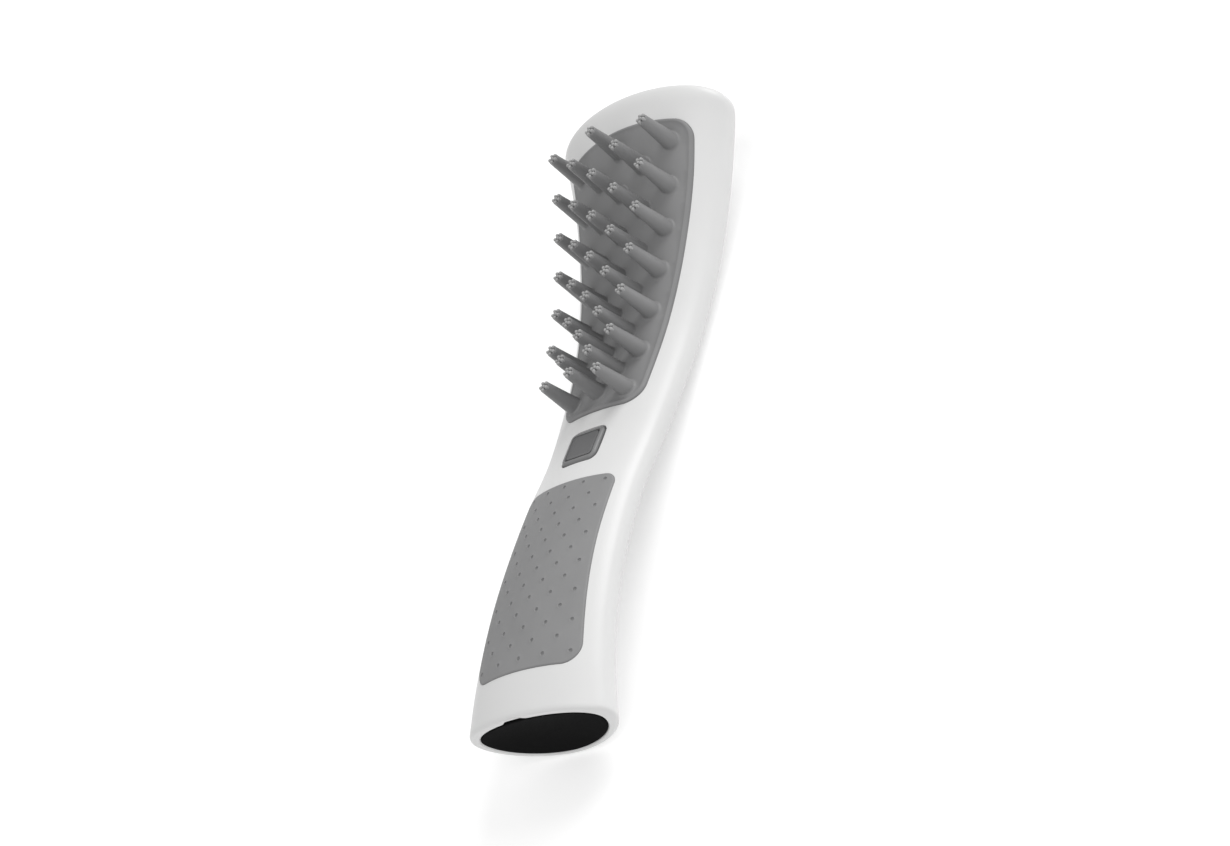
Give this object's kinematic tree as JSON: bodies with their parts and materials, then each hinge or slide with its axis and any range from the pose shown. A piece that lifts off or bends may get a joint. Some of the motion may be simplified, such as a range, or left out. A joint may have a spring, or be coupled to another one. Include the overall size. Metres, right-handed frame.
{
  "type": "scalp massager brush",
  "caption": "Battery scalp massager brush with a waisted handle, soft grip inlay, silicone bristle pad, push button, vibration motor and pull-off end cap.",
  "frame": {"origin": "centre of the footprint on the surface that the brush lies on, on its back", "axes": "+X along the brush from the end cap to the head, +Z the way the bristles point"},
  "size_m": [0.2, 0.0678, 0.0424],
  "materials": {
    "shell_white": "satin moulded",
    "pad_silicone": "matt silicone",
    "grip_rubber": "soft touch, dimpled",
    "bezel_grey": "satin",
    "button_grey": "satin",
    "cap_black": "satin",
    "seal_rubber": "matt",
    "carrier_plastic": "moulded",
    "tray_plastic": "moulded",
    "screw_steel": "zinc plated",
    "contact_steel": "nickel plated",
    "cell_wrap": "printed sleeve, plain",
    "board_laminate": "glass laminate",
    "switch_plastic": "moulded",
    "motor_steel": "drawn can",
    "motor_plastic": "moulded",
    "magnet": "sintered",
    "copper": "wound wire",
    "brass": "turned",
    "wire_red": "insulation",
    "wire_black": "insulation"
  },
  "bodies": {
    "root": {"front_casing": "shell_white", "rear_cover": "shell_white", "cover_screws": "screw_steel", "carrier_screws": "screw_steel", "pad_carrier": "carrier_plastic", "bristle_pad": "pad_silicone", "grip_inlay": "grip_rubber", "button_bezel": "bezel_grey", "switch_body": "switch_plastic", "circuit_board": "board_laminate", "board_screws": "screw_steel", "battery_left": "cell_wrap", "battery_right": "cell_wrap", "battery_tray": "tray_plastic", "positive_contact": "contact_steel", "negative_spring": "contact_steel", "negative_contact": "contact_steel", "motor_can": "motor_steel", "motor_end_bell": "motor_plastic", "motor_magnets": "magnet", "motor_clamp": "contact_steel", "clamp_screws": "screw_steel", "motor_terminals": "brass", "motor_wire_red": "wire_red", "motor_wire_black": "wire_black", "battery_wire_red": "wire_red", "battery_wire_black": "wire_black"},
    "button": {"power_button": "button_grey"},
    "plunger": {"switch_plunger": "switch_plastic"},
    "cap": {"end_cap": "cap_black", "cap_seal": "seal_rubber", "cap_bridge_contact": "contact_steel", "cap_spring": "contact_steel"},
    "rotor": {"motor_shaft": "screw_steel", "eccentric_weight": "brass", "armature": "copper", "commutator": "copper"}
  },
  "joints": [
    {"name": "button_press", "type": "slide", "parent": "root", "child": "button", "axis": [-0.1901, 0, -0.9818], "range_m": [0, 0.0006], "stiffness_N_per_m": 300},
    {"name": "plunger_press", "type": "slide", "parent": "root", "child": "plunger", "axis": [-0.1901, 0, -0.9818], "range_m": [0, 0.0006]},
    {"name": "cap_pull", "type": "slide", "parent": "root", "child": "cap", "axis": [-0.9806, 0, -0.1961], "range_m": [0, 0.03]},
    {"name": "rotor_spin", "type": "hinge", "parent": "root", "child": "rotor", "pos_m": [0.062, 0, 0.0106], "axis": [0, 1, 0], "continuous": true}
  ],
  "couplings": [
    {"joint": "plunger_press", "follows": "button_press", "ratio": 1}
  ]
}
